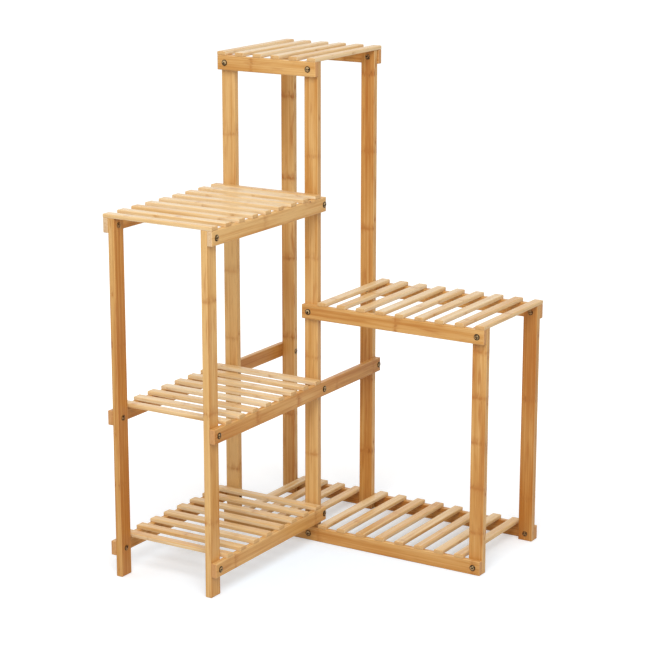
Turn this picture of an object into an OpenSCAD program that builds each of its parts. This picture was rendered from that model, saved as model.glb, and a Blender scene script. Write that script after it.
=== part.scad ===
// Corner plant shelf. A tall tower stands in the corner of a room, one wing of
// shelves runs forward from it and one runs to the right.
// +X runs along the right wing, +Y to the back wall and +Z up.
// The left wing reaches forward, towards -Y.
// Rails are bolted to the outer faces of the legs, and slats lie on the rails.

/* [Footprint] */
// Width of the tower over its legs, along X
tower_w = 228; // [190:1:320]
// Depth of the tower over its legs, along Y
tower_d = 234; // [190:1:320]
// How far the left wing's legs reach in front of the tower
left_reach = 387; // [320:1:480]
// How far the right wing's legs reach beside the tower
right_reach = 384; // [320:1:480]

/* [Heights of the shelf tops] */
// Top of the tower
tower_z = 1000; // [880:1:1200]
// Upper shelf of the left wing
left_upper_z = 730; // [660:1:800]
// Middle shelf of the left wing
left_middle_z = 348; // [280:1:400]
// Upper shelf of the right wing
right_upper_z = 510; // [470:1:600]
// Clear height from the right wing's bottom slats up to the left wing's bottom rails
wing_step = 5; // [2:0.5:40]

/* [Legs] */
// Wide side of a leg
leg_w = 31; // [26:0.5:40]
// Narrow side of a leg
leg_t = 14; // [13:0.5:20]
// Rounding of the edges of a leg
leg_edge = 1.5; // [0.5:0.25:3]

/* [Rails] */
// Height of a rail
rail_h = 29.5; // [24:0.5:36]
// Thickness of a rail
rail_t = 12; // [10:0.5:16]
// Rounding of the edges of a rail
rail_edge = 2; // [0.5:0.25:3]
// How far the top rails reach past the legs at each end
top_overhang = 2.5; // [0:0.5:8]

/* [Slats] */
// Width of a slat
slat_w = 20; // [16:0.5:24]
// Thickness of a slat
slat_t = 8; // [6.5:0.5:10]
// Rounding of the upper edges of a slat
slat_top_edge = 3; // [1:0.25:3.5]
// Rounding of all other edges of a slat
slat_edge = 1; // [0.5:0.25:1.5]
// Gap between a leg and the slat next to it
slat_end_gap = 7; // [2:0.5:12]
// Slats on top of the tower
top_slats = 6; // [4:1:7]
// Slats on each upper shelf, the last of them over the outer legs
upper_slats = 9; // [7:1:11]
// Slats on each lower shelf, between the legs
lower_slats = 8; // [6:1:10]
// Slats at the foot of the tower
foot_slats = 4; // [3:1:5]

/* [Bolts and sleeve nuts] */
// Diameter of a bolt's head
bolt_head_d = 12.5; // [10:0.5:16]
// Height of a bolt's head
bolt_head_h = 2.2; // [1.5:0.1:3]
// Height of the straight rim below the dome of a bolt's or a nut's head
head_rim = 0.6; // [0.3:0.1:1]
// Diameter of a bolt's shank
bolt_d = 6; // [5.5:0.5:7]
// Width of the hex socket across its flats
socket_af = 4; // [3:0.5:4.5]
// Depth of the hex socket
socket_depth = 2.6; // [1.5:0.1:4]
// Diameter of the nut's head, which shows on the inside of a leg
nut_head_d = 11; // [10.5:0.5:14]
// Height of the nut's head
nut_head_h = 1.8; // [1.2:0.1:3]
// Outer diameter of the nut's sleeve
sleeve_d = 8.4; // [8:0.2:10]
// Length of the nut's sleeve
sleeve_len = 12; // [9:0.5:13]
// Length of the bolt inside the sleeve
thread_grip = 8; // [5:0.5:8.5]
// Free play of a bolt or a sleeve in its hole, on the diameter
hole_play = 0.4; // [0.2:0.1:0.8]
// Free play of the bolt in the sleeve, on the diameter
thread_play = 0.2; // [0.1:0.05:0.4]

/* [Brads] */
// Diameter of the headless brads that pin each slat to its rails
brad_d = 1.4; // [1:0.1:2]
// Depth of a brad in its rail
brad_bite = 8; // [6:0.5:8.5]
// Depth of the brad's top below the slat's surface
brad_sink = 0.5; // [0.2:0.1:1]
// Free play of a brad in its hole, on the diameter
brad_play = 0.1; // [0.05:0.05:0.2]

/* [Hidden] */
$fn = 32;

BAMBOO_LEG = [0.80, 0.60, 0.36];
BAMBOO_RAIL = [0.83, 0.64, 0.40];
BAMBOO_SLAT = [0.89, 0.75, 0.54];
BRONZE = [0.42, 0.33, 0.20];
STEEL = [0.62, 0.60, 0.57];

// How far a cutting shape reaches past the surface that it cuts
cut = 1;

right_x = tower_w + right_reach;

// Tops of the rails, which are also the undersides of the slats
top_rail_z = tower_z - slat_t;
left_upper_rail_z = left_upper_z - slat_t;
left_middle_rail_z = left_middle_z - slat_t;
right_upper_rail_z = right_upper_z - slat_t;
right_bottom_rail_z = rail_h;
left_bottom_rail_z = right_bottom_rail_z + slat_t + wing_step + rail_h;
left_rail_zs = [left_bottom_rail_z, left_middle_rail_z, left_upper_rail_z];

// Lines on which the bolts cross the legs
bolt_x_left = leg_w / 2;
bolt_x_inner = tower_w - leg_w / 2;
bolt_x_right = right_x - leg_w / 2;
bolt_y_front = leg_t / 2;
bolt_y_back = tower_d - leg_t / 2;
bolt_y_left_wing = -left_reach + leg_w / 2;

// Evenly spread places from the first to the last
function spread(first, last, count) = [for (i = [0 : count - 1]) first + i * (last - first) / (count - 1)];

// Middle lines of the slats. Those on the tower and the right wing run along Y and have an x,
// those on the left wing run along X and have a y.
slat_inset = slat_end_gap + slat_w / 2;
top_xs = spread(slat_w / 2 - top_overhang, tower_w + top_overhang - slat_w / 2, top_slats);
foot_xs = spread(leg_w + slat_inset, tower_w - leg_w - slat_inset, foot_slats);
right_upper_xs = spread(tower_w + slat_inset, right_x - slat_w / 2, upper_slats);
right_bottom_xs = spread(tower_w + slat_inset, right_x - leg_w - slat_inset, lower_slats);
left_upper_ys = spread(slat_w / 2 - left_reach, -slat_inset, upper_slats);
left_lower_ys = spread(leg_w + slat_inset - left_reach, -slat_inset, lower_slats);

// The origin is on the floor below the middle of the whole shelf
middle_x = (right_x - rail_t - bolt_head_h) / 2;
middle_y = (tower_d + rail_t + bolt_head_h - left_reach) / 2;

function numbered(name, list) = [for (i = [0 : len(list) - 1]) str(name, i + 1)];

module placed() translate([-middle_x, -middle_y, 0]) children();

// One corner of a rectangle, outside its rounding
module corner_waste(r) {
    difference() {
        translate([-cut, -cut]) square(r + cut);
        translate([r, r]) circle(r);
    }
}

// Rectangle from the origin, with its lower and upper corners rounded
module rounded_rect(w, h, lower_r, upper_r) {
    difference() {
        square([w, h]);
        corner_waste(lower_r);
        translate([w, 0]) mirror([1, 0]) corner_waste(lower_r);
        translate([0, h]) mirror([0, 1]) corner_waste(upper_r);
        translate([w, h]) mirror([1, 0]) mirror([0, 1]) corner_waste(upper_r);
    }
}

// Bar of square section with all its edges rounded
module eased_bar(x, y, z, edge) {
    intersection() {
        linear_extrude(z) rounded_rect(x, y, edge, edge);
        translate([0, y, 0]) rotate([90, 0, 0]) linear_extrude(y) rounded_rect(x, z, edge, edge);
        rotate([90, 0, 90]) linear_extrude(x) rounded_rect(y, z, edge, edge);
    }
}

// Each of these stands its child on the outer face of a rail, pointing out of the shelf
module on_front(x, z) translate([x, -rail_t, z]) rotate([90, 0, 0]) children();
module on_back(x, z) translate([x, tower_d + rail_t, z]) rotate([-90, 0, 0]) children();
module on_outer(y, z) translate([-rail_t, y, z]) rotate([0, -90, 0]) children();
module on_inner(y, z) translate([tower_w + rail_t, y, z]) rotate([0, 90, 0]) children();

// The bolts lie at half the height of a rail, given the top of the rail
module front_bolts(xs, rail_zs) for (x = xs, z = rail_zs) on_front(x, z - rail_h / 2) children();
module back_bolts(xs, rail_zs) for (x = xs, z = rail_zs) on_back(x, z - rail_h / 2) children();
module outer_bolts(ys, rail_zs) for (y = ys, z = rail_zs) on_outer(y, z - rail_h / 2) children();
module inner_bolts(ys, rail_zs) for (y = ys, z = rail_zs) on_inner(y, z - rail_h / 2) children();

// Stepped hole through a rail and a leg: narrow for the bolt, wide for the sleeve
module bolt_hole(leg_depth) {
    stack = rail_t + leg_depth;
    translate([0, 0, -stack - cut]) cylinder(h = stack + 2 * cut, d = bolt_d + hole_play);
    translate([0, 0, -stack - cut]) cylinder(h = cut + sleeve_len + hole_play, d = sleeve_d + hole_play);
}

// Low domed head on a straight rim
module domed_head(d, h) {
    dome_h = h - head_rim;
    dome_r = (pow(d / 2, 2) + pow(dome_h, 2)) / (2 * dome_h);
    rotate_extrude($fn = 48) intersection() {
        square([d / 2, h]);
        translate([0, h - dome_r]) circle(dome_r, $fn = 240);
    }
}

// Bolt with its head on the rail and its shank through the rail and into the sleeve
module rail_bolt(leg_depth) {
    shank = rail_t + leg_depth - sleeve_len + thread_grip;
    difference() {
        union() {
            domed_head(bolt_head_d, bolt_head_h);
            translate([0, 0, -shank]) cylinder(h = shank + bolt_head_h / 2, d = bolt_d);
        }
        translate([0, 0, bolt_head_h - socket_depth]) hex_socket();
    }
}

// Six-sided hole for a key
module hex_socket() cylinder(h = socket_depth + cut, d = socket_af / cos(180 / 6), $fn = 6);

// Sleeve nut that meets the bolt from the inside of the leg
module sleeve_nut(leg_depth) {
    difference() {
        translate([0, 0, -rail_t - leg_depth]) {
            mirror([0, 0, 1]) domed_head(nut_head_d, nut_head_h);
            cylinder(h = sleeve_len, d = sleeve_d);
        }
        translate([0, 0, -rail_t - leg_depth]) cylinder(h = sleeve_len + cut, d = bolt_d + thread_play);
    }
}

// Leg from its lowest corner, drilled by its children
module leg(x, y, size_x, size_y, height) {
    color(BAMBOO_LEG) placed() difference() {
        translate([x, y, 0]) eased_bar(size_x, size_y, height, leg_edge);
        children();
    }
}

module tower_front_left_leg() leg(0, 0, leg_w, leg_t, top_rail_z) {
    front_bolts([bolt_x_left], [right_bottom_rail_z, top_rail_z]) bolt_hole(leg_t);
    outer_bolts([bolt_y_front], left_rail_zs) bolt_hole(leg_w);
}

// This leg is shared by the tower and both wings. Its bolts cross in two directions,
// each at a height of its own.
module tower_front_right_leg() leg(tower_w - leg_w, 0, leg_w, leg_t, top_rail_z) {
    front_bolts([bolt_x_inner], [right_bottom_rail_z, right_upper_rail_z, top_rail_z]) bolt_hole(leg_t);
    inner_bolts([bolt_y_front], left_rail_zs) bolt_hole(leg_w);
}

module tower_back_left_leg() leg(0, tower_d - leg_t, leg_w, leg_t, top_rail_z) {
    back_bolts([bolt_x_left], [right_bottom_rail_z, top_rail_z]) bolt_hole(leg_t);
    outer_bolts([bolt_y_back], [left_middle_rail_z]) bolt_hole(leg_w);
}

module tower_back_right_leg() leg(tower_w - leg_w, tower_d - leg_t, leg_w, leg_t, top_rail_z) {
    back_bolts([bolt_x_inner], [right_bottom_rail_z, right_upper_rail_z, top_rail_z]) bolt_hole(leg_t);
    inner_bolts([bolt_y_back], [left_middle_rail_z]) bolt_hole(leg_w);
}

module left_wing_outer_leg() leg(0, -left_reach, leg_t, leg_w, left_upper_rail_z)
    outer_bolts([bolt_y_left_wing], left_rail_zs) bolt_hole(leg_t);

module left_wing_inner_leg() leg(tower_w - leg_t, -left_reach, leg_t, leg_w, left_upper_rail_z)
    inner_bolts([bolt_y_left_wing], left_rail_zs) bolt_hole(leg_t);

module right_wing_front_leg() leg(right_x - leg_w, 0, leg_w, leg_t, right_upper_rail_z)
    front_bolts([bolt_x_right], [right_bottom_rail_z, right_upper_rail_z]) bolt_hole(leg_t);

module right_wing_back_leg() leg(right_x - leg_w, tower_d - leg_t, leg_w, leg_t, right_upper_rail_z)
    back_bolts([bolt_x_right], [right_bottom_rail_z, right_upper_rail_z]) bolt_hole(leg_t);

// Hole for a brad, blind in the top of a rail and right through a slat
module brad_hole() translate([0, 0, -brad_bite]) cylinder(h = brad_bite + slat_t + cut, d = brad_d + brad_play);

// Brads go down the middle of each rail
module front_brads(xs, rail_z) for (x = xs) translate([x, -rail_t / 2, rail_z]) children();
module back_brads(xs, rail_z) for (x = xs) translate([x, tower_d + rail_t / 2, rail_z]) children();
module outer_brads(ys, rail_z) for (y = ys) translate([-rail_t / 2, y, rail_z]) children();
module inner_brads(ys, rail_z) for (y = ys) translate([tower_w + rail_t / 2, y, rail_z]) children();

// Rail along X with its top at rail_z, drilled by its children
module x_rail(x_from, x_to, y, rail_z) {
    color(BAMBOO_RAIL) placed() difference() {
        translate([x_from, y, rail_z - rail_h]) eased_bar(x_to - x_from, rail_t, rail_h, rail_edge);
        children();
    }
}

// Front rail, with its bolts in the legs at bolt_xs and a brad for each slat
module front_rail(x_from, x_to, rail_z, bolt_xs, slat_xs) x_rail(x_from, x_to, -rail_t, rail_z) {
    front_bolts(bolt_xs, [rail_z]) bolt_hole(leg_t);
    front_brads(slat_xs, rail_z) brad_hole();
}

module back_rail(x_from, x_to, rail_z, bolt_xs, slat_xs) x_rail(x_from, x_to, tower_d, rail_z) {
    back_bolts(bolt_xs, [rail_z]) bolt_hole(leg_t);
    back_brads(slat_xs, rail_z) brad_hole();
}

// Rail along Y with its top at rail_z, from the front of the left wing
module y_rail(x, y_to, rail_z) {
    color(BAMBOO_RAIL) placed() difference() {
        translate([x, -left_reach, rail_z - rail_h]) eased_bar(rail_t, y_to + left_reach, rail_h, rail_edge);
        children();
    }
}

module outer_rail(y_to, rail_z, bolt_ys, slat_ys) y_rail(-rail_t, y_to, rail_z) {
    outer_bolts(bolt_ys, [rail_z]) bolt_hole(leg_t);
    outer_brads(slat_ys, rail_z) brad_hole();
}

module inner_rail(y_to, rail_z, bolt_ys, slat_ys) y_rail(tower_w, y_to, rail_z) {
    inner_bolts(bolt_ys, [rail_z]) bolt_hole(leg_t);
    inner_brads(slat_ys, rail_z) brad_hole();
}

// Legs that each kind of rail is bolted to
top_bolt_xs = [bolt_x_left, bolt_x_inner];
right_bolt_xs = [bolt_x_inner, bolt_x_right];
bottom_bolt_xs = [bolt_x_left, bolt_x_inner, bolt_x_right];
wing_bolt_ys = [bolt_y_left_wing, bolt_y_front];
middle_bolt_ys = [bolt_y_left_wing, bolt_y_front, bolt_y_back];
bottom_slat_xs = concat(foot_xs, right_bottom_xs);

module top_front_rail()
    front_rail(-top_overhang, tower_w + top_overhang, top_rail_z, top_bolt_xs, top_xs);
module top_back_rail()
    back_rail(-top_overhang, tower_w + top_overhang, top_rail_z, top_bolt_xs, top_xs);
module left_upper_outer_rail() outer_rail(leg_t, left_upper_rail_z, wing_bolt_ys, left_upper_ys);
module left_upper_inner_rail() inner_rail(leg_t, left_upper_rail_z, wing_bolt_ys, left_upper_ys);
module middle_outer_rail() outer_rail(tower_d, left_middle_rail_z, middle_bolt_ys, left_lower_ys);
module middle_inner_rail() inner_rail(tower_d, left_middle_rail_z, middle_bolt_ys, left_lower_ys);
module left_bottom_outer_rail() outer_rail(leg_t, left_bottom_rail_z, wing_bolt_ys, left_lower_ys);
module left_bottom_inner_rail() inner_rail(leg_t, left_bottom_rail_z, wing_bolt_ys, left_lower_ys);
module right_upper_front_rail()
    front_rail(tower_w - leg_w, right_x, right_upper_rail_z, right_bolt_xs, right_upper_xs);
module right_upper_back_rail()
    back_rail(tower_w - leg_w, right_x, right_upper_rail_z, right_bolt_xs, right_upper_xs);
module bottom_front_rail() front_rail(0, right_x, right_bottom_rail_z, bottom_bolt_xs, bottom_slat_xs);
module bottom_back_rail() back_rail(0, right_x, right_bottom_rail_z, bottom_bolt_xs, bottom_slat_xs);

// Slat along X, centred on its width. The upper edges have the larger rounding.
module slat(length) {
    intersection() {
        translate([0, -slat_w / 2, 0]) rotate([90, 0, 90]) linear_extrude(length)
            rounded_rect(slat_w, slat_t, slat_edge, slat_top_edge);
        translate([0, slat_w / 2, 0]) rotate([90, 0, 0]) linear_extrude(slat_w)
            rounded_rect(length, slat_t, slat_edge, slat_top_edge);
        translate([0, -slat_w / 2, 0]) linear_extrude(slat_t)
            rounded_rect(length, slat_w, slat_edge, slat_edge);
    }
}

// Slat across the tower or the right wing, flush with the front and back rails
module y_slat(x, rail_z) {
    color(BAMBOO_SLAT) placed() difference() {
        translate([x, -rail_t, rail_z]) rotate([0, 0, 90]) slat(tower_d + 2 * rail_t);
        front_brads([x], rail_z) brad_hole();
        back_brads([x], rail_z) brad_hole();
    }
}

// Slat across the left wing, flush with the outer and inner rails
module x_slat(y, rail_z) {
    color(BAMBOO_SLAT) placed() difference() {
        translate([-rail_t, y, rail_z]) slat(tower_w + 2 * rail_t);
        outer_brads([y], rail_z) brad_hole();
        inner_brads([y], rail_z) brad_hole();
    }
}

module left_middle_slats() for (y = left_lower_ys) x_slat(y, left_middle_rail_z);
module left_bottom_slats() for (y = left_lower_ys) x_slat(y, left_bottom_rail_z);
module right_bottom_slats() for (x = right_bottom_xs) y_slat(x, right_bottom_rail_z);

// Where bolts go through the narrow side of a leg
module at_short_bolts() {
    front_bolts(bottom_bolt_xs, [right_bottom_rail_z]) children();
    front_bolts(right_bolt_xs, [right_upper_rail_z]) children();
    front_bolts(top_bolt_xs, [top_rail_z]) children();
    back_bolts(bottom_bolt_xs, [right_bottom_rail_z]) children();
    back_bolts(right_bolt_xs, [right_upper_rail_z]) children();
    back_bolts(top_bolt_xs, [top_rail_z]) children();
    outer_bolts([bolt_y_left_wing], left_rail_zs) children();
    inner_bolts([bolt_y_left_wing], left_rail_zs) children();
}

// Where bolts go through the wide side of a leg
module at_long_bolts() {
    outer_bolts([bolt_y_front], left_rail_zs) children();
    inner_bolts([bolt_y_front], left_rail_zs) children();
    outer_bolts([bolt_y_back], [left_middle_rail_z]) children();
    inner_bolts([bolt_y_back], [left_middle_rail_z]) children();
}

module short_bolts() color(BRONZE) placed() at_short_bolts() rail_bolt(leg_t);
module long_bolts() color(BRONZE) placed() at_long_bolts() rail_bolt(leg_w);
module sleeve_nuts() color(BRONZE) placed() {
    at_short_bolts() sleeve_nut(leg_t);
    at_long_bolts() sleeve_nut(leg_w);
}

module brad() translate([0, 0, -brad_bite]) cylinder(h = brad_bite + slat_t - brad_sink, d = brad_d);

// A brad at both ends of each slat
module y_slat_brads(xs, rail_z) {
    front_brads(xs, rail_z) brad();
    back_brads(xs, rail_z) brad();
}

module x_slat_brads(ys, rail_z) {
    outer_brads(ys, rail_z) brad();
    inner_brads(ys, rail_z) brad();
}

module slat_brads() color(STEEL) placed() {
    y_slat_brads(top_xs, top_rail_z);
    y_slat_brads(right_upper_xs, right_upper_rail_z);
    y_slat_brads(bottom_slat_xs, right_bottom_rail_z);
    x_slat_brads(left_upper_ys, left_upper_rail_z);
    x_slat_brads(left_lower_ys, left_middle_rail_z);
    x_slat_brads(left_lower_ys, left_bottom_rail_z);
}

tower_front_left_leg();
tower_front_right_leg();
tower_back_left_leg();
tower_back_right_leg();
left_wing_outer_leg();
left_wing_inner_leg();
right_wing_front_leg();
right_wing_back_leg();
top_front_rail();
top_back_rail();
left_upper_outer_rail();
left_upper_inner_rail();
middle_outer_rail();
middle_inner_rail();
left_bottom_outer_rail();
left_bottom_inner_rail();
right_upper_front_rail();
right_upper_back_rail();
bottom_front_rail();
bottom_back_rail();
for (i = [0 : len(top_xs) - 1])
    y_slat(top_xs[i], top_rail_z);
for (i = [0 : len(left_upper_ys) - 1])
    x_slat(left_upper_ys[i], left_upper_rail_z);
left_middle_slats();
left_bottom_slats();
for (i = [0 : len(right_upper_xs) - 1])
    y_slat(right_upper_xs[i], right_upper_rail_z);
right_bottom_slats();
for (i = [0 : len(foot_xs) - 1])
    y_slat(foot_xs[i], right_bottom_rail_z);
short_bolts();
long_bolts();
sleeve_nuts();
slat_brads();
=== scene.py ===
from math import radians
import bpy
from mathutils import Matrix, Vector


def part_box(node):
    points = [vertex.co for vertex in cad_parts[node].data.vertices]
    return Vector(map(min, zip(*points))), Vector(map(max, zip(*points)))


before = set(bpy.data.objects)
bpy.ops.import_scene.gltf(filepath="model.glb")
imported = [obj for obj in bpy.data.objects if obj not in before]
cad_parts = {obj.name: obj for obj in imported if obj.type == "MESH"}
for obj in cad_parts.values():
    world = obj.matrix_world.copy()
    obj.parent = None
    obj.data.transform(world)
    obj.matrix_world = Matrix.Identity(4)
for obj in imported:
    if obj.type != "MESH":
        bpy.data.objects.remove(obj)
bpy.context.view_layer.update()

# How each kind of bar lies: the axes along its grain, across its wide face and through it
LEG_FACING_FRONT = "ZXY"
LEG_FACING_SIDE = "ZYX"
RAIL_ALONG_X = "XZY"
RAIL_ALONG_Y = "YZX"
SLAT_ALONG_X = "XYZ"
SLAT_ALONG_Y = "YXZ"

# Bamboo of the frame and of the slats, each from its darkest strips to its palest
FRAME_BAMBOO = ((0.46, 0.165, 0.024, 1), (0.60, 0.295, 0.075, 1), (0.74, 0.450, 0.170, 1))
SLAT_BAMBOO = ((0.64, 0.340, 0.100, 1), (0.765, 0.510, 0.235, 1), (0.83, 0.650, 0.410, 1))

# The tones that those three colours stand for
DARKEST = 0.10
MIDDLE = 0.50
PALEST = 0.92

# Painted highlight along the bars' rounded edges
PAINTED_EDGE_HIGHLIGHT = (0.78, 0.520, 0.230, 1)
# Cut-end colours, partly the end grain's own colour and partly painted light and shade: the pale one for lit
# rail ends of the upper left shelf, the brown one darkened as if in shade
PALE_CUT_AND_PAINTED_LIGHT = (0.75, 0.530, 0.300, 1)
SLAT_CUT = (0.69, 0.430, 0.180, 1)
BROWN_CUT_AND_PAINTED_SHADE = (0.62, 0.320, 0.120, 1)
FIBRE_BROWN = (0.36, 0.130, 0.025, 1)
NODE_ORANGE = (0.46, 0.170, 0.030, 1)
NODE_BROWN = (0.25, 0.080, 0.015, 1)
KNOT_BROWN = (0.10, 0.035, 0.012, 1)

# Plating colours: the dark one is partly patina and partly painted dark reflection and shadow; the worn ones
# are partly worn metal and partly painted highlight
DARK_BRONZE_AND_PAINTED_REFLECTION = (0.050, 0.030, 0.015, 1)
WORN_AND_HIGHLIT_BRONZE = (0.70, 0.490, 0.250, 1)
DULL_BRONZE = (0.46, 0.270, 0.120, 1)
DARK_STEEL = (0.42, 0.40, 0.38, 1)
BRIGHT_STEEL = (0.62, 0.60, 0.57, 1)

# Partly the strips' own colour and partly painted light and sheen: the narrow sides are made paler, by an
# amount set per bar to how brightly they are lit
FRAME_SIDE_TONE_AND_LIGHT = 0.22      # how much paler a leg's or rail's narrow sides are than its wide faces
SLAT_SIDE_TONE_AND_LIGHT = 0.06       # and a slat's
LAYER = 0.005          # thickness of one bamboo strip in a glued bar
WHOLE_FACE = 0.2       # strip width that covers a bar's whole face
NO_ROW = 10.0          # pitch of a bar that stands alone

# Noises in the wood: waves per metre along the grain, across it and through it
STREAK_WAVES = (2.2, 230.0, 230.0)
FIBRE_WAVES = (11.0, 820.0, 820.0)
CLOUD_WAVES = (5.0, 28.0, 28.0)
BUNDLE_WAVES = (34.0, 1500.0, 1500.0)
BLUSH_WAVES = (13.0, 115.0, 115.0)
RAGGED_WAVES = (9.0, 110.0, 110.0)
PATCH_WAVES = (40.0, 95.0, 95.0)
FLECK_WAVES = (75.0, 330.0, 330.0)
CUT_END_WAVES = (0.0, 1050.0, 1050.0)
STRIP_JUMP = (7.0, 3.0, 3.0)       # how far apart two strips of a bar can lie in these noises, in metres

# Noises in the metal: waves per metre along x, y and z
SCRATCH_WAVES = (2600.0, 2600.0, 120.0)
MOTTLE_WAVES = (900.0, 900.0, 900.0)
RUBBED_AND_REFLECTION_WAVES = (260.0, 260.0, 260.0)

# How far each strip's own chance and each noise shift the wood's tone
STRIP_SHARE = 0.34
STREAK_SHARE = 1.15
FIBRE_SHARE = 0.60
CLOUD_SHARE = 0.95

# Sizes of the bamboo's nodes, glue lines and knot, in metres. Of a pair, the first is where a mark has
# faded out and the second where it is full
NODE_RAGGEDNESS = 0.008
NODE_LINE = (0.0065, 0.0004)
NODE_UPPER_PATCH = (0.019, 0.001)
NODE_LOWER_PATCH = (-0.010, 0.001)
NODE_FLECKS = (0.014, 0.003)
NODE_SWELLING = (0.0085, 0.0015)
FIBRE_SWERVE = 0.0009
GLUE_LINE = (0.00035, 0.00005)
KNOT_SIZE = 0.0032
KNOT_SQUASH = (0.42, 1.0, 1.0)     # makes it longer along the grain

# The strength of each node's mark lies between the weakest and that plus the spread
WEAKEST_NODE = 0.60
NODE_SPREAD = 0.50

# From one slat of a row to the next
SEED_STEP = 7.31
NODE_STEP = 0.087                  # metres that its nodes lie further along

# How strongly each detail covers the wood under it
BUNDLE_COVER = 0.32
BAND_COVER = 0.78
SCAR_COVER = 0.34
GLUE_COVER = 0.30
EDGE_HIGHLIGHT_COVER = 0.22
SWIRL_COVER = 0.45
HEART_COVER = 0.85
END_GLUE_COVER = 0.45
END_DOT_COVER = 0.25

# Gloss and relief of the lacquered wood, the plating and the steel
SATIN_LACQUER = {"IOR": 1.38, "Coat Weight": 0.25, "Coat Roughness": 0.26, "Coat IOR": 1.4}
WOOD_ROUGHNESS = 0.33
FIBRE_ROUGHNESS = 0.14
END_ROUGHNESS = 0.22
WOOD_RELIEF = {"Strength": 0.35, "Distance": 0.0003}
PLATING_ROUGHNESS = 0.18
MOTTLE_ROUGHNESS = 0.20
PLATING_RELIEF = {"Strength": 0.15, "Distance": 0.0002}
STEEL_ROUGHNESS = 0.25
SCRATCH_ROUGHNESS = 0.3


# Node trees

def fill_inputs(tree, node, inputs):
    """Gives a node's sockets their values or links."""
    for name, value in inputs.items():
        if isinstance(value, bpy.types.NodeSocket):
            tree.links.new(value, node.inputs[name])
        else:
            node.inputs[name].default_value = value


def add(tree, kind, inputs=None, **settings):
    """Adds a node, sets its options and fills its sockets."""
    node = tree.nodes.new(kind)
    for name, value in settings.items():
        setattr(node, name, value)
    fill_inputs(tree, node, inputs or {})
    return node


def calc(tree, operation, *values):
    node = add(tree, "ShaderNodeMath", dict(enumerate(values)), operation=operation)
    return node.outputs[0]


def calc_vector(tree, operation, *values):
    node = add(tree, "ShaderNodeVectorMath", dict(enumerate(values)), operation=operation)
    return node.outputs["Value" if operation == "LENGTH" else "Vector"]


def ease(tree, value, low, high, start=0.0, end=1.0):
    """Smooth step from start to end, as value goes from low to high."""
    ranges = {"Value": value, "From Min": low, "From Max": high, "To Min": start, "To Max": end}
    return add(tree, "ShaderNodeMapRange", ranges, interpolation_type="SMOOTHSTEP").outputs["Result"]


def blend(tree, factor, first, second):
    node = add(tree, "ShaderNodeMix", {0: factor, 6: first, 7: second}, data_type="RGBA")
    return node.outputs[2]


def cover(tree, colour, mask, strength, paint):
    """Lays paint over colour where the mask is."""
    return blend(tree, calc(tree, "MULTIPLY", mask, strength), colour, paint)


def noise(tree, place, waves, detail=2.0):
    """Noise with its own number of waves per metre along each axis."""
    stretched = calc_vector(tree, "MULTIPLY", place, waves)
    node = add(tree, "ShaderNodeTexNoise", {"Vector": stretched, "Scale": 1.0, "Detail": detail})
    return node.outputs["Fac"]


def chance_of(tree, x, y, z):
    """Random value and colour, the same wherever x, y and z are the same."""
    seed = add(tree, "ShaderNodeCombineXYZ", {"X": x, "Y": y, "Z": z}).outputs[0]
    return add(tree, "ShaderNodeTexWhiteNoise", {"Vector": seed}, noise_dimensions="3D").outputs


def split(tree, vector):
    return add(tree, "ShaderNodeSeparateXYZ", {0: vector}).outputs


def start_group(name, inputs, outputs):
    group = bpy.data.node_groups.new(name, "ShaderNodeTree")
    for label, kind in inputs:
        group.interface.new_socket(label, in_out="INPUT", socket_type=kind)
    for label, kind in outputs:
        group.interface.new_socket(label, in_out="OUTPUT", socket_type=kind)
    return group, group.nodes.new("NodeGroupInput").outputs, group.nodes.new("NodeGroupOutput").inputs


NUMBER = "NodeSocketFloat"
VECTOR = "NodeSocketVector"


def make_row_group():
    """Tells one bar of an evenly spaced row from the next."""
    group, given, result = start_group(
        "bar in a row", [("Bar", VECTOR), ("Pitch", NUMBER)], [("Bar", VECTOR), ("Number", NUMBER)])
    parts = split(group, given["Bar"])
    number = calc(group, "ROUND", calc(group, "DIVIDE", parts["Y"], given["Pitch"]))
    across = calc(group, "SUBTRACT", parts["Y"], calc(group, "MULTIPLY", number, given["Pitch"]))
    bar = add(group, "ShaderNodeCombineXYZ", {"X": parts["X"], "Y": across, "Z": parts["Z"]})
    group.links.new(bar.outputs[0], result["Bar"])
    group.links.new(number, result["Number"])
    return group


def make_faces_group():
    """Finds a bar's cut ends, narrow sides and rounded edges from the way its surface faces."""
    group, given, result = start_group(
        "bar faces", [("Facing", VECTOR)], [("End", NUMBER), ("Side", NUMBER), ("Edge", NUMBER)])
    facing = calc_vector(group, "ABSOLUTE", calc_vector(group, "NORMALIZE", given["Facing"]))
    parts = split(group, facing)
    flattest = calc(group, "MAXIMUM", calc(group, "MAXIMUM", parts["X"], parts["Y"]), parts["Z"])
    group.links.new(ease(group, parts["X"], 0.55, 0.85), result["End"])
    group.links.new(ease(group, parts["Y"], 0.60, 0.80), result["Side"])
    group.links.new(ease(group, flattest, 0.99, 0.80), result["Edge"])
    return group


def find_node(group, given, along_grain, place, row, shuffle):
    """The signed way to the nearest node, in metres and a little ragged, and how strong its mark is."""
    start = calc(group, "SUBTRACT", along_grain, given["First Node"])
    along = calc(group, "ADD", calc(group, "DIVIDE", start, given["Node Gap"]), shuffle)
    number = calc(group, "ROUND", along)
    offset = calc(group, "MULTIPLY", calc(group, "SUBTRACT", along, number), given["Node Gap"])
    ragged = calc(group, "SUBTRACT", noise(group, place, RAGGED_WAVES), 0.5)
    offset = calc(group, "ADD", offset, calc(group, "MULTIPLY", ragged, NODE_RAGGEDNESS))
    strength = chance_of(group, number, given["Seed"], row)["Value"]
    return offset, calc(group, "MULTIPLY_ADD", strength, NODE_SPREAD, WEAKEST_NODE)


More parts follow.
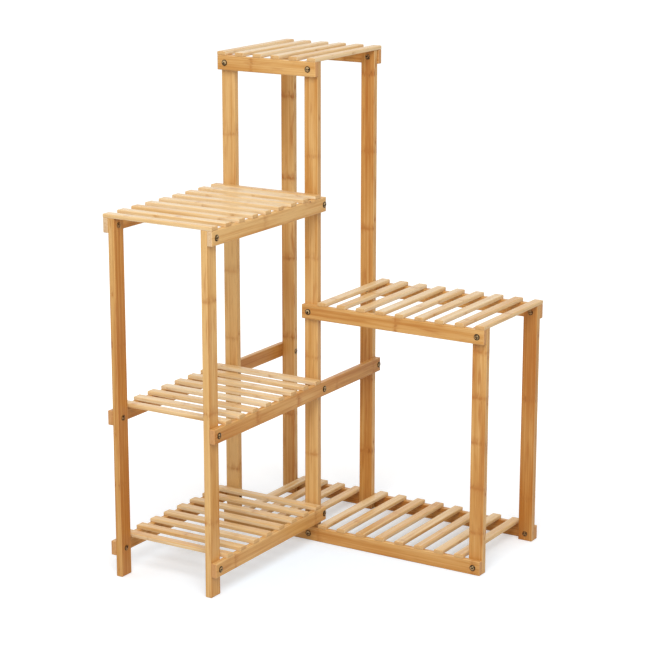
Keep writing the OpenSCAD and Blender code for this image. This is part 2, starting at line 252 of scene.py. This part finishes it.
def mark_nodes(group, place, offset, away, strength):
    """A node's orange band, with a soft patch round its line, and the dark flecks in it."""
    patchy = ease(group, noise(group, place, PATCH_WAVES), 0.38, 0.58, 0.10, 1.0)
    above = ease(group, offset, *NODE_UPPER_PATCH, 0.0, 0.75)
    below = ease(group, offset, *NODE_LOWER_PATCH)
    patch = calc(group, "MULTIPLY", calc(group, "MULTIPLY", above, below), patchy)
    line = calc(group, "MULTIPLY", ease(group, away, *NODE_LINE), ease(group, patchy, 0.1, 0.8, 0.45, 1.0))
    band = calc(group, "MULTIPLY", calc(group, "MAXIMUM", line, patch), strength)
    flecks = ease(group, noise(group, place, FLECK_WAVES, 1.0), 0.60, 0.70)
    flecks = calc(group, "MULTIPLY", flecks, ease(group, away, *NODE_FLECKS))
    return band, calc(group, "MULTIPLY", flecks, strength)


def mark_glue_lines(group, across, through, given):
    """Thin lines where two strips meet."""
    lines = []
    for strips, thickness in ((across, given["Strip Width"]), (through, given["Layer"])):
        from_seam = calc(group, "MULTIPLY", calc(group, "PINGPONG", strips, 0.5), thickness)
        lines.append(ease(group, from_seam, *GLUE_LINE))
    return calc(group, "MAXIMUM", *lines)


def make_bamboo_group():
    """Glued bamboo strips: their tones, fibres, dark fibre bundles and nodes."""
    group, given, result = start_group(
        "bamboo strips",
        [("Bar", VECTOR), ("Seed", NUMBER), ("Strip Width", NUMBER), ("Layer", NUMBER),
         ("Node Gap", NUMBER), ("First Node", NUMBER)],
        [("Tone", NUMBER), ("Bundles", NUMBER), ("Band", NUMBER), ("Scar", NUMBER), ("Glue Line", NUMBER),
         ("Height", NUMBER)])
    parts = split(group, given["Bar"])

    # Each glued strip has a number across the bar and one through it, and its own place in the noises
    across = calc(group, "ADD", calc(group, "DIVIDE", parts["Y"], given["Strip Width"]), 0.5)
    through = calc(group, "ADD", calc(group, "DIVIDE", parts["Z"], given["Layer"]), 0.5)
    column = calc(group, "FLOOR", across)
    row = calc(group, "FLOOR", through)
    chance = chance_of(group, column, row, given["Seed"])
    jump = calc_vector(group, "MULTIPLY", chance["Color"], STRIP_JUMP)
    place = calc_vector(group, "ADD", given["Bar"], jump)

    # The nodes of the middle layer lie elsewhere than those of the outer ones
    is_middle = calc(group, "COMPARE", row, 0.0, 0.5)
    shuffle = calc(group, "MULTIPLY", chance["Value"], is_middle)
    offset, strength = find_node(group, given, parts["X"], place, row, shuffle)
    away = calc(group, "ABSOLUTE", offset)
    band, scar = mark_nodes(group, place, offset, away, strength)
    blush = ease(group, noise(group, place, BLUSH_WAVES), 0.55, 0.74, 0.0, 0.65)

    # Fibres run along the bar and swerve at the nodes
    swelling = ease(group, away, *NODE_SWELLING)
    swerve = add(group, "ShaderNodeCombineXYZ", {"Y": calc(group, "MULTIPLY", swelling, FIBRE_SWERVE)})
    fibre_place = calc_vector(group, "ADD", place, swerve.outputs[0])
    streaks = noise(group, fibre_place, STREAK_WAVES, 3.0)
    fibres = noise(group, fibre_place, FIBRE_WAVES, 3.0)
    clouds = noise(group, place, CLOUD_WAVES, 1.0)
    bundles = ease(group, noise(group, fibre_place, BUNDLE_WAVES, 1.0), 0.60, 0.74)

    # A tone of 0.5 is the middle of the wood's colour
    tone = calc(group, "MULTIPLY", calc(group, "SUBTRACT", chance["Value"], 0.5), STRIP_SHARE)
    for layer, share in ((streaks, STREAK_SHARE), (fibres, FIBRE_SHARE), (clouds, CLOUD_SHARE)):
        tone = calc(group, "MULTIPLY_ADD", calc(group, "SUBTRACT", layer, 0.5), share, tone)

    glue = mark_glue_lines(group, across, through, given)
    height = calc(group, "MULTIPLY", fibres, 0.5)
    height = calc(group, "ADD", height, calc(group, "MULTIPLY", swelling, 0.15))
    height = calc(group, "SUBTRACT", height, calc(group, "MULTIPLY", glue, 0.25))
    found = {"Tone": calc(group, "ADD", tone, 0.5), "Bundles": bundles, "Scar": scar,
             "Band": calc(group, "MAXIMUM", band, blush), "Glue Line": glue, "Height": height}
    for label, value in found.items():
        group.links.new(value, result[label])
    return group


def make_end_group():
    """The dots of cut fibre bundles on a bar's ends."""
    group, given, result = start_group(
        "bamboo cut ends", [("Bar", VECTOR), ("Seed", NUMBER)], [("Dots", NUMBER)])
    flat = calc_vector(group, "MULTIPLY", given["Bar"], CUT_END_WAVES)
    flat = calc_vector(group, "ADD", flat, given["Seed"])
    cells = add(group, "ShaderNodeTexVoronoi", {"Vector": flat, "Scale": 1.0, "Randomness": 0.9})
    group.links.new(ease(group, cells.outputs["Distance"], 0.42, 0.22), result["Dots"])
    return group


def make_knot_group():
    """A small knot, longer along the grain, with a swirl of fibres round it."""
    group, given, result = start_group(
        "small knot", [("Place", VECTOR), ("Centre", VECTOR), ("Squash", VECTOR), ("Size", NUMBER)],
        [("Heart", NUMBER), ("Swirl", NUMBER)])
    offset = calc_vector(group, "SUBTRACT", given["Place"], given["Centre"])
    offset = calc_vector(group, "MULTIPLY", offset, given["Squash"])
    away = calc(group, "DIVIDE", calc_vector(group, "LENGTH", offset), given["Size"])
    group.links.new(ease(group, away, 0.55, 0.25), result["Heart"])
    ripples = calc(group, "PINGPONG", calc(group, "ADD", away, 0.3), 1.0)
    fading = ease(group, away, 4.5, 1.0)
    group.links.new(calc(group, "MULTIPLY", ripples, fading), result["Swirl"])
    return group


def make_patina_group():
    """Antique plating, partly painted reflection and shade: dark round the rim and in random patches, partly
    patina and partly standing in for dark surroundings reflected there and for shadow, and bright on the
    crown, partly worn metal and partly a painted highlight.
    """
    group, given, result = start_group(
        "antique plating and painted reflection", [("Place", VECTOR), ("Facing", VECTOR)], [("Wear And Painted Reflection", NUMBER), ("Mottle", NUMBER)])
    facing = calc_vector(group, "ABSOLUTE", calc_vector(group, "NORMALIZE", given["Facing"]))
    parts = split(group, facing)
    crown = calc(group, "MAXIMUM", parts["X"], parts["Y"])
    mottle = noise(group, given["Place"], MOTTLE_WAVES, 3.0)
    rubbed_and_painted_reflection = ease(group, noise(group, given["Place"], RUBBED_AND_REFLECTION_WAVES), 0.40, 0.56)
    # Painted reflection and shade, partly: set by which way the surface faces, so the tilted rim is dark and
    # the crown bright
    wear_and_painted_reflection = calc(group, "MULTIPLY", ease(group, crown, 0.925, 0.958), rubbed_and_painted_reflection)
    wear_and_painted_reflection = calc(group, "MULTIPLY_ADD", calc(group, "SUBTRACT", mottle, 0.5), 0.3, wear_and_painted_reflection)
    group.links.new(calc(group, "MINIMUM", calc(group, "MAXIMUM", wear_and_painted_reflection, 0.0), 1.0), result["Wear And Painted Reflection"])
    group.links.new(mottle, result["Mottle"])
    return group


ROW = make_row_group()
FACES = make_faces_group()
BAMBOO = make_bamboo_group()
END_DOTS = make_end_group()
KNOT = make_knot_group()
PATINA = make_patina_group()


def place_group(tree, group, inputs):
    node = tree.nodes.new("ShaderNodeGroup")
    node.node_tree = group
    fill_inputs(tree, node, inputs)
    return node.outputs


# Materials

def new_material(name):
    material = bpy.data.materials.new(name)
    material.use_nodes = True
    tree = material.node_tree
    tree.nodes.clear()
    shader = tree.nodes.new("ShaderNodeBsdfPrincipled")
    output = tree.nodes.new("ShaderNodeOutputMaterial")
    tree.links.new(shader.outputs[0], output.inputs["Surface"])
    return material, tree, shader


def reorder(tree, vector, axes):
    """The vector seen from a bar: along its grain, across it and through it."""
    parts = split(tree, vector)
    turned = {"X": parts[axes[0]], "Y": parts[axes[1]], "Z": parts[axes[2]]}
    return add(tree, "ShaderNodeCombineXYZ", turned).outputs[0]


def wood_colour(tree, wood, faces, shade, wood_colours, node_strength):
    """The long faces of a bar: the wood's tone, then its fibre bundles, nodes and glue lines, and a painted
    highlight on its rounded edges.
    """
    ramp = add(tree, "ShaderNodeValToRGB", {"Fac": shade})
    dark, middle_tone, pale = wood_colours
    steps = ramp.color_ramp.elements
    steps[0].position, steps[0].color = DARKEST, dark
    steps[1].position, steps[1].color = PALEST, pale
    steps.new(MIDDLE).color = middle_tone
    colour = cover(tree, ramp.outputs["Color"], wood["Bundles"], BUNDLE_COVER, FIBRE_BROWN)
    colour = cover(tree, colour, wood["Band"], BAND_COVER * node_strength, NODE_ORANGE)
    colour = cover(tree, colour, wood["Scar"], SCAR_COVER * node_strength, NODE_BROWN)
    colour = cover(tree, colour, wood["Glue Line"], GLUE_COVER, FIBRE_BROWN)
    # Painted highlight: rounded edges made paler
    return cover(tree, colour, faces["Edge"], EDGE_HIGHLIGHT_COVER, PAINTED_EDGE_HIGHLIGHT)


def knotted(tree, colour, bar, centre):
    mark = place_group(tree, KNOT, {"Place": bar, "Centre": Vector(centre), "Squash": KNOT_SQUASH,
                                    "Size": KNOT_SIZE})
    colour = cover(tree, colour, mark["Swirl"], SWIRL_COVER, NODE_ORANGE)
    return cover(tree, colour, mark["Heart"], HEART_COVER, KNOT_BROWN)


def end_colour(tree, wood, cut, cut_end):
    """The cut ends, where the strips' layers and fibre bundles show."""
    colour = blend(tree, ease(tree, wood["Tone"], 0.2, 0.7, 0.35, 0.0), cut_end, NODE_ORANGE)
    colour = cover(tree, colour, wood["Glue Line"], END_GLUE_COVER, FIBRE_BROWN)
    return cover(tree, colour, cut["Dots"], END_DOT_COVER, NODE_BROWN)


def lacquered_bamboo(name, axes, centre, seed, tone=0.0, wood_colours=FRAME_BAMBOO, side=FRAME_SIDE_TONE_AND_LIGHT,
                     cut_end=BROWN_CUT_AND_PAINTED_SHADE, strip=WHOLE_FACE, node_gap=0.24, first_node=0.0, node_strength=1.0,
                     drift=0.0, pitch=NO_ROW, knot=None):
    """Bamboo bar or row of bars under satin lacquer. first_node is a place along the grain, in metres.
    The paling along the grain is painted light and shade: how much paler the bar gets with each metre along
    it, standing in for light that falls more strongly on one end.
    knot is a place along the bar, across it and through it, from its middle."""
    material, tree, shader = new_material(name)
    where = tree.nodes.new("ShaderNodeTexCoord").outputs
    from_middle = {"Vector": where["Object"], "Location": -Vector(centre)}
    middle = add(tree, "ShaderNodeMapping", from_middle).outputs[0]
    row = place_group(tree, ROW, {"Bar": reorder(tree, middle, axes), "Pitch": pitch})
    own_seed = calc(tree, "MULTIPLY_ADD", row["Number"], SEED_STEP, seed)
    faces = place_group(tree, FACES, {"Facing": reorder(tree, where["Normal"], axes)})
    grain_start = first_node - centre["XYZ".index(axes[0])]
    node_start = calc(tree, "MULTIPLY_ADD", row["Number"], NODE_STEP, grain_start)
    wood = place_group(tree, BAMBOO, {"Bar": row["Bar"], "Seed": own_seed, "Strip Width": strip,
                                      "Layer": LAYER, "Node Gap": node_gap, "First Node": node_start})
    cut = place_group(tree, END_DOTS, {"Bar": row["Bar"], "Seed": own_seed})

    shade = calc(tree, "ADD", wood["Tone"], tone)
    # Painted light and shade: paler or darker along the grain, as if one end were lit more strongly
    shade = calc(tree, "MULTIPLY_ADD", split(tree, row["Bar"])["X"], drift, shade)
    # Narrow sides made paler: partly the strips' own colour, partly painted light and sheen
    shade = calc(tree, "MULTIPLY_ADD", faces["Side"], side, shade)
    colour = wood_colour(tree, wood, faces, shade, wood_colours, node_strength)
    if knot:
        colour = knotted(tree, colour, row["Bar"], knot)
    colour = blend(tree, faces["End"], colour, end_colour(tree, wood, cut, cut_end))

    rough = calc(tree, "MULTIPLY_ADD", wood["Height"], FIBRE_ROUGHNESS, WOOD_ROUGHNESS)
    rough = calc(tree, "MULTIPLY_ADD", faces["End"], END_ROUGHNESS, rough)
    bump = add(tree, "ShaderNodeBump", {"Height": wood["Height"], **WOOD_RELIEF})
    fill_inputs(tree, shader, {"Base Color": colour, "Roughness": rough, "Normal": bump.outputs["Normal"]})
    fill_inputs(tree, shader, SATIN_LACQUER)
    return material


def antique_bronze(name, crown_colour_wear_and_highlight):
    material, tree, shader = new_material(name)
    where = tree.nodes.new("ShaderNodeTexCoord").outputs
    plating = place_group(tree, PATINA, {"Place": where["Object"], "Facing": where["Normal"]})
    # Partly patina and worn metal, partly painted reflection and highlight
    colour = blend(tree, plating["Wear And Painted Reflection"], DARK_BRONZE_AND_PAINTED_REFLECTION, crown_colour_wear_and_highlight)
    rough = calc(tree, "MULTIPLY_ADD", plating["Mottle"], MOTTLE_ROUGHNESS, PLATING_ROUGHNESS)
    bump = add(tree, "ShaderNodeBump", {"Height": plating["Mottle"], **PLATING_RELIEF})
    fill_inputs(tree, shader, {"Base Color": colour, "Roughness": rough, "Normal": bump.outputs["Normal"],
                               "Metallic": 1.0})
    return material


def drawn_steel():
    material, tree, shader = new_material("drawn steel")
    where = tree.nodes.new("ShaderNodeTexCoord").outputs
    scratches = noise(tree, where["Object"], SCRATCH_WAVES)
    colour = blend(tree, scratches, DARK_STEEL, BRIGHT_STEEL)
    rough = calc(tree, "MULTIPLY_ADD", scratches, SCRATCH_ROUGHNESS, STEEL_ROUGHNESS)
    fill_inputs(tree, shader, {"Base Color": colour, "Roughness": rough, "Metallic": 1.0})
    return material


# Dressing the part

def dress(node, material):
    """Gives a carried-over piece its finish."""
    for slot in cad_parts[node].material_slots:
        slot.material = material


def middle_of(node):
    low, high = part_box(node)
    return (Vector(low) + Vector(high)) / 2


def dress_bar(node, axes, **look):
    dress(node, lacquered_bamboo(node.replace("_", " "), axes, middle_of(node), **look))


def dress_row(nodes, axes, **look):
    """One finish for a row of slats, counted from the first."""
    first = middle_of(nodes[0])
    pitch = (middle_of(nodes[-1]) - first).length / (len(nodes) - 1)
    material = lacquered_bamboo(nodes[0].removesuffix("_1") + " row", axes, first, pitch=pitch, **look)
    for node in nodes:
        dress(node, material)


def dress_legs():
    """Each leg has its own tone, and its nodes at their own heights. The tones are partly the bamboo's own
    colour and partly painted shade, darker on the back legs, which get less light; the paling along each leg
    is painted light and shade.
    """
    dress_bar("left_wing_outer_leg", LEG_FACING_SIDE, seed=1, tone=-0.16, side=0.28, drift=0.32,
              node_gap=0.28, first_node=0.19, node_strength=1.5)
    dress_bar("left_wing_inner_leg", LEG_FACING_SIDE, seed=2, tone=0.06, side=0.36, drift=0.40,
              node_gap=0.218, first_node=0.15)
    dress_bar("tower_front_left_leg", LEG_FACING_FRONT, seed=13, tone=0.58, side=0.02, drift=-0.30,
              node_gap=0.1425, first_node=0.1185, node_strength=0.8)
    dress_bar("tower_front_right_leg", LEG_FACING_FRONT, seed=4, tone=0.28, side=0.37, drift=-0.30,
              strip=0.0104, node_gap=0.2065, first_node=0.184)
    dress_bar("tower_back_left_leg", LEG_FACING_FRONT, seed=5, tone=-0.02, side=0.70,
              node_gap=0.175, first_node=0.182, node_strength=1.6)
    dress_bar("tower_back_right_leg", LEG_FACING_FRONT, seed=6, tone=-0.29, side=0.51,
              node_gap=0.1625, first_node=0.1305, node_strength=1.7)
    dress_bar("right_wing_front_leg", LEG_FACING_FRONT, seed=7, tone=-0.03, side=0.36,
              node_gap=0.0925, first_node=0.177, node_strength=1.6)
    dress_bar("right_wing_back_leg", LEG_FACING_FRONT, seed=8, tone=-0.31, side=0.45,
              node_gap=0.211, first_node=0.092, node_strength=1.7)


def dress_rails():
    rail_knot = (0.141, 0.0138, 0.0050)
    dress_bar("top_front_rail", RAIL_ALONG_X, seed=21, tone=0.26, first_node=-0.22)
    dress_bar("top_back_rail", RAIL_ALONG_X, seed=22, tone=-0.06, first_node=-0.15)
    # Pale cut ends on these two rails: partly painted light
    dress_bar("left_upper_outer_rail", RAIL_ALONG_Y, seed=23, cut_end=PALE_CUT_AND_PAINTED_LIGHT, first_node=-0.12)
    dress_bar("left_upper_inner_rail", RAIL_ALONG_Y, seed=24, tone=0.44, cut_end=PALE_CUT_AND_PAINTED_LIGHT, first_node=-0.14,
              node_strength=0.5, knot=rail_knot)
    dress_bar("middle_outer_rail", RAIL_ALONG_Y, seed=25, first_node=-0.20)
    dress_bar("middle_inner_rail", RAIL_ALONG_Y, seed=26, tone=-0.19, node_gap=0.148, first_node=-0.17)
    dress_bar("left_bottom_outer_rail", RAIL_ALONG_Y, seed=27, tone=-0.05, first_node=-0.10)
    dress_bar("left_bottom_inner_rail", RAIL_ALONG_Y, seed=28, tone=-0.03, node_gap=0.295, first_node=-0.252)
    dress_bar("right_upper_front_rail", RAIL_ALONG_X, seed=29, tone=0.09, node_gap=0.30, first_node=0.117,
              node_strength=1.4)
    dress_bar("right_upper_back_rail", RAIL_ALONG_X, seed=30, tone=-0.08, first_node=0.05)
    dress_bar("bottom_front_rail", RAIL_ALONG_X, seed=31, tone=0.03, node_gap=0.36, first_node=-0.063)
    dress_bar("bottom_back_rail", RAIL_ALONG_X, seed=32, tone=-0.10, first_node=0.12)


SLAT_LOOK = {"wood_colours": SLAT_BAMBOO, "side": SLAT_SIDE_TONE_AND_LIGHT, "cut_end": SLAT_CUT, "node_gap": 0.31,
             "node_strength": 0.6}
SLATS_IN_A_GROUP = 8
SLAT_WIDTH = 0.020


def dress_slats():
    """Each shelf's slats are cut from paler strips than the frame."""
    rows = (("top_slat_", 6, SLAT_ALONG_Y, 0.10), ("left_upper_slat_", 9, SLAT_ALONG_X, 0.06),
            ("right_upper_slat_", 9, SLAT_ALONG_Y, 0.04), ("tower_foot_slat_", 4, SLAT_ALONG_Y, -0.05))
    for number, (name, count, axes, tone) in enumerate(rows):
        nodes = [name + str(i + 1) for i in range(count)]
        dress_row(nodes, axes, seed=41 + number, tone=tone, first_node=0.05 * number, **SLAT_LOOK)


def dress_slat_groups():
    """Rows of slats that are one piece of the model, counted from the middle line of the first."""
    groups = (("left_middle_slats", SLAT_ALONG_X, 51, 0.14), ("left_bottom_slats", SLAT_ALONG_X, 52, -0.03),
              ("right_bottom_slats", SLAT_ALONG_Y, 53, -0.04))
    for node, axes, seed, tone in groups:
        low, high = (Vector(corner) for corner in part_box(node))
        across = "XYZ".index(axes[1])
        pitch = (high[across] - low[across] - SLAT_WIDTH) / (SLATS_IN_A_GROUP - 1)
        first = (low + high) / 2
        first[across] = low[across] + SLAT_WIDTH / 2
        dress(node, lacquered_bamboo(node.replace("_", " "), axes, first, seed=seed, tone=tone, pitch=pitch,
                                     first_node=0.03, **SLAT_LOOK))


def dress_metal():
    bolt_plating = antique_bronze("antique bronze of the bolts", WORN_AND_HIGHLIT_BRONZE)
    dress("short_bolts", bolt_plating)
    dress("long_bolts", bolt_plating)
    dress("sleeve_nuts", antique_bronze("antique bronze of the sleeve nuts", DULL_BRONZE))
    dress("slat_brads", drawn_steel())


dress_legs()
dress_rails()
dress_slats()
dress_slat_groups()
dress_metal()


# Studio

FLOOR_SIZE = 60.0
FLOOR_GREY = (0.70, 0.70, 0.70, 1)        # what the floor throws back at the shelf
FLOOR_NEAR = (0.68, 0.775, 0.87, 1)       # cooled, because the shelf warms the light there
FLOOR_FAR = (0.78, 0.780, 0.78, 1)
NEAR_TO_FAR = (0.15, 0.60)                # metres from the middle of the floor
NEAR_GLOW = 0.33
FAR_GLOW = 0.60
GLOW_GROWS = (0.25, 1.2)
SKY_LIGHT = 0.62                          # strength of the sky that lights the shelf
SHELF_MIDDLE = Vector((0, 0, 0.5))

CAMERA_PLACE = (2.1036, -3.4259, 1.5086)
CAMERA_TILT = 75.770
CAMERA_TURN = 31.748
CAMERA_LENS = 117.21


def make_floor():
    """Pale floor, white to the camera where no shadow falls on it."""
    bpy.ops.mesh.primitive_plane_add(size=FLOOR_SIZE, location=(0, 0, 0))
    floor = bpy.context.object
    floor.name = "studio_floor"
    material = bpy.data.materials.new("pale studio floor")
    material.use_nodes = True
    tree = material.node_tree
    tree.nodes.clear()
    output = tree.nodes.new("ShaderNodeOutputMaterial")
    matt = add(tree, "ShaderNodeBsdfDiffuse", {"Color": FLOOR_GREY}).outputs[0]
    place = tree.nodes.new("ShaderNodeTexCoord").outputs["Object"]
    away = calc_vector(tree, "LENGTH", place)
    seen_colour = blend(tree, ease(tree, away, *NEAR_TO_FAR), FLOOR_NEAR, FLOOR_FAR)
    seen = add(tree, "ShaderNodeBsdfDiffuse", {"Color": seen_colour}).outputs[0]
    glow = ease(tree, away, *GLOW_GROWS, NEAR_GLOW, FAR_GLOW)
    white = add(tree, "ShaderNodeEmission", {"Strength": glow}).outputs[0]
    lit = add(tree, "ShaderNodeAddShader", {0: seen, 1: white}).outputs[0]
    camera_ray = tree.nodes.new("ShaderNodeLightPath").outputs["Is Camera Ray"]
    mixed = add(tree, "ShaderNodeMixShader", {0: camera_ray, 1: matt, 2: lit}).outputs[0]
    tree.links.new(mixed, output.inputs["Surface"])
    floor.data.materials.append(material)


def make_world():
    """Even white surroundings, which the camera and gloss see at full white."""
    world = bpy.data.worlds.new("white studio")
    bpy.context.scene.world = world
    world.use_nodes = True
    tree = world.node_tree
    tree.nodes.clear()
    path = tree.nodes.new("ShaderNodeLightPath").outputs
    seen = calc(tree, "MAXIMUM", path["Is Camera Ray"], path["Is Glossy Ray"])
    seen = calc(tree, "MAXIMUM", seen, path["Is Transmission Ray"])
    strength = calc(tree, "MULTIPLY_ADD", seen, 1 - SKY_LIGHT, SKY_LIGHT)
    sky = add(tree, "ShaderNodeBackground", {"Color": (1, 1, 1, 1), "Strength": strength})
    output = tree.nodes.new("ShaderNodeOutputWorld")
    tree.links.new(sky.outputs[0], output.inputs["Surface"])


def add_softbox(name, place, size, power):
    """A square soft light that faces the middle of the shelf."""
    bpy.ops.object.light_add(type="AREA", location=place)
    lamp = bpy.context.object
    lamp.name = name
    lamp.rotation_euler = (SHELF_MIDDLE - Vector(place)).to_track_quat("-Z", "Y").to_euler()
    lamp.data.size = size
    lamp.data.energy = power
    lamp.visible_camera = False


def make_lights():
    """A soft light high in front of the shelf, and a weaker one from the left and behind."""
    add_softbox("key_softbox", place=(1.30, -2.24, 2.72), size=2.1, power=78)
    add_softbox("fill_softbox", place=(-2.2, 0.6, 2.2), size=2.0, power=10)


def make_camera():
    rotation = (radians(CAMERA_TILT), 0, radians(CAMERA_TURN))
    bpy.ops.object.camera_add(location=CAMERA_PLACE, rotation=rotation)
    camera = bpy.context.object
    camera.name = "photo_camera"
    camera.data.lens = CAMERA_LENS
    bpy.context.scene.camera = camera


make_floor()
make_world()
make_lights()
make_camera()
bpy.context.scene.view_settings.view_transform = "Standard"
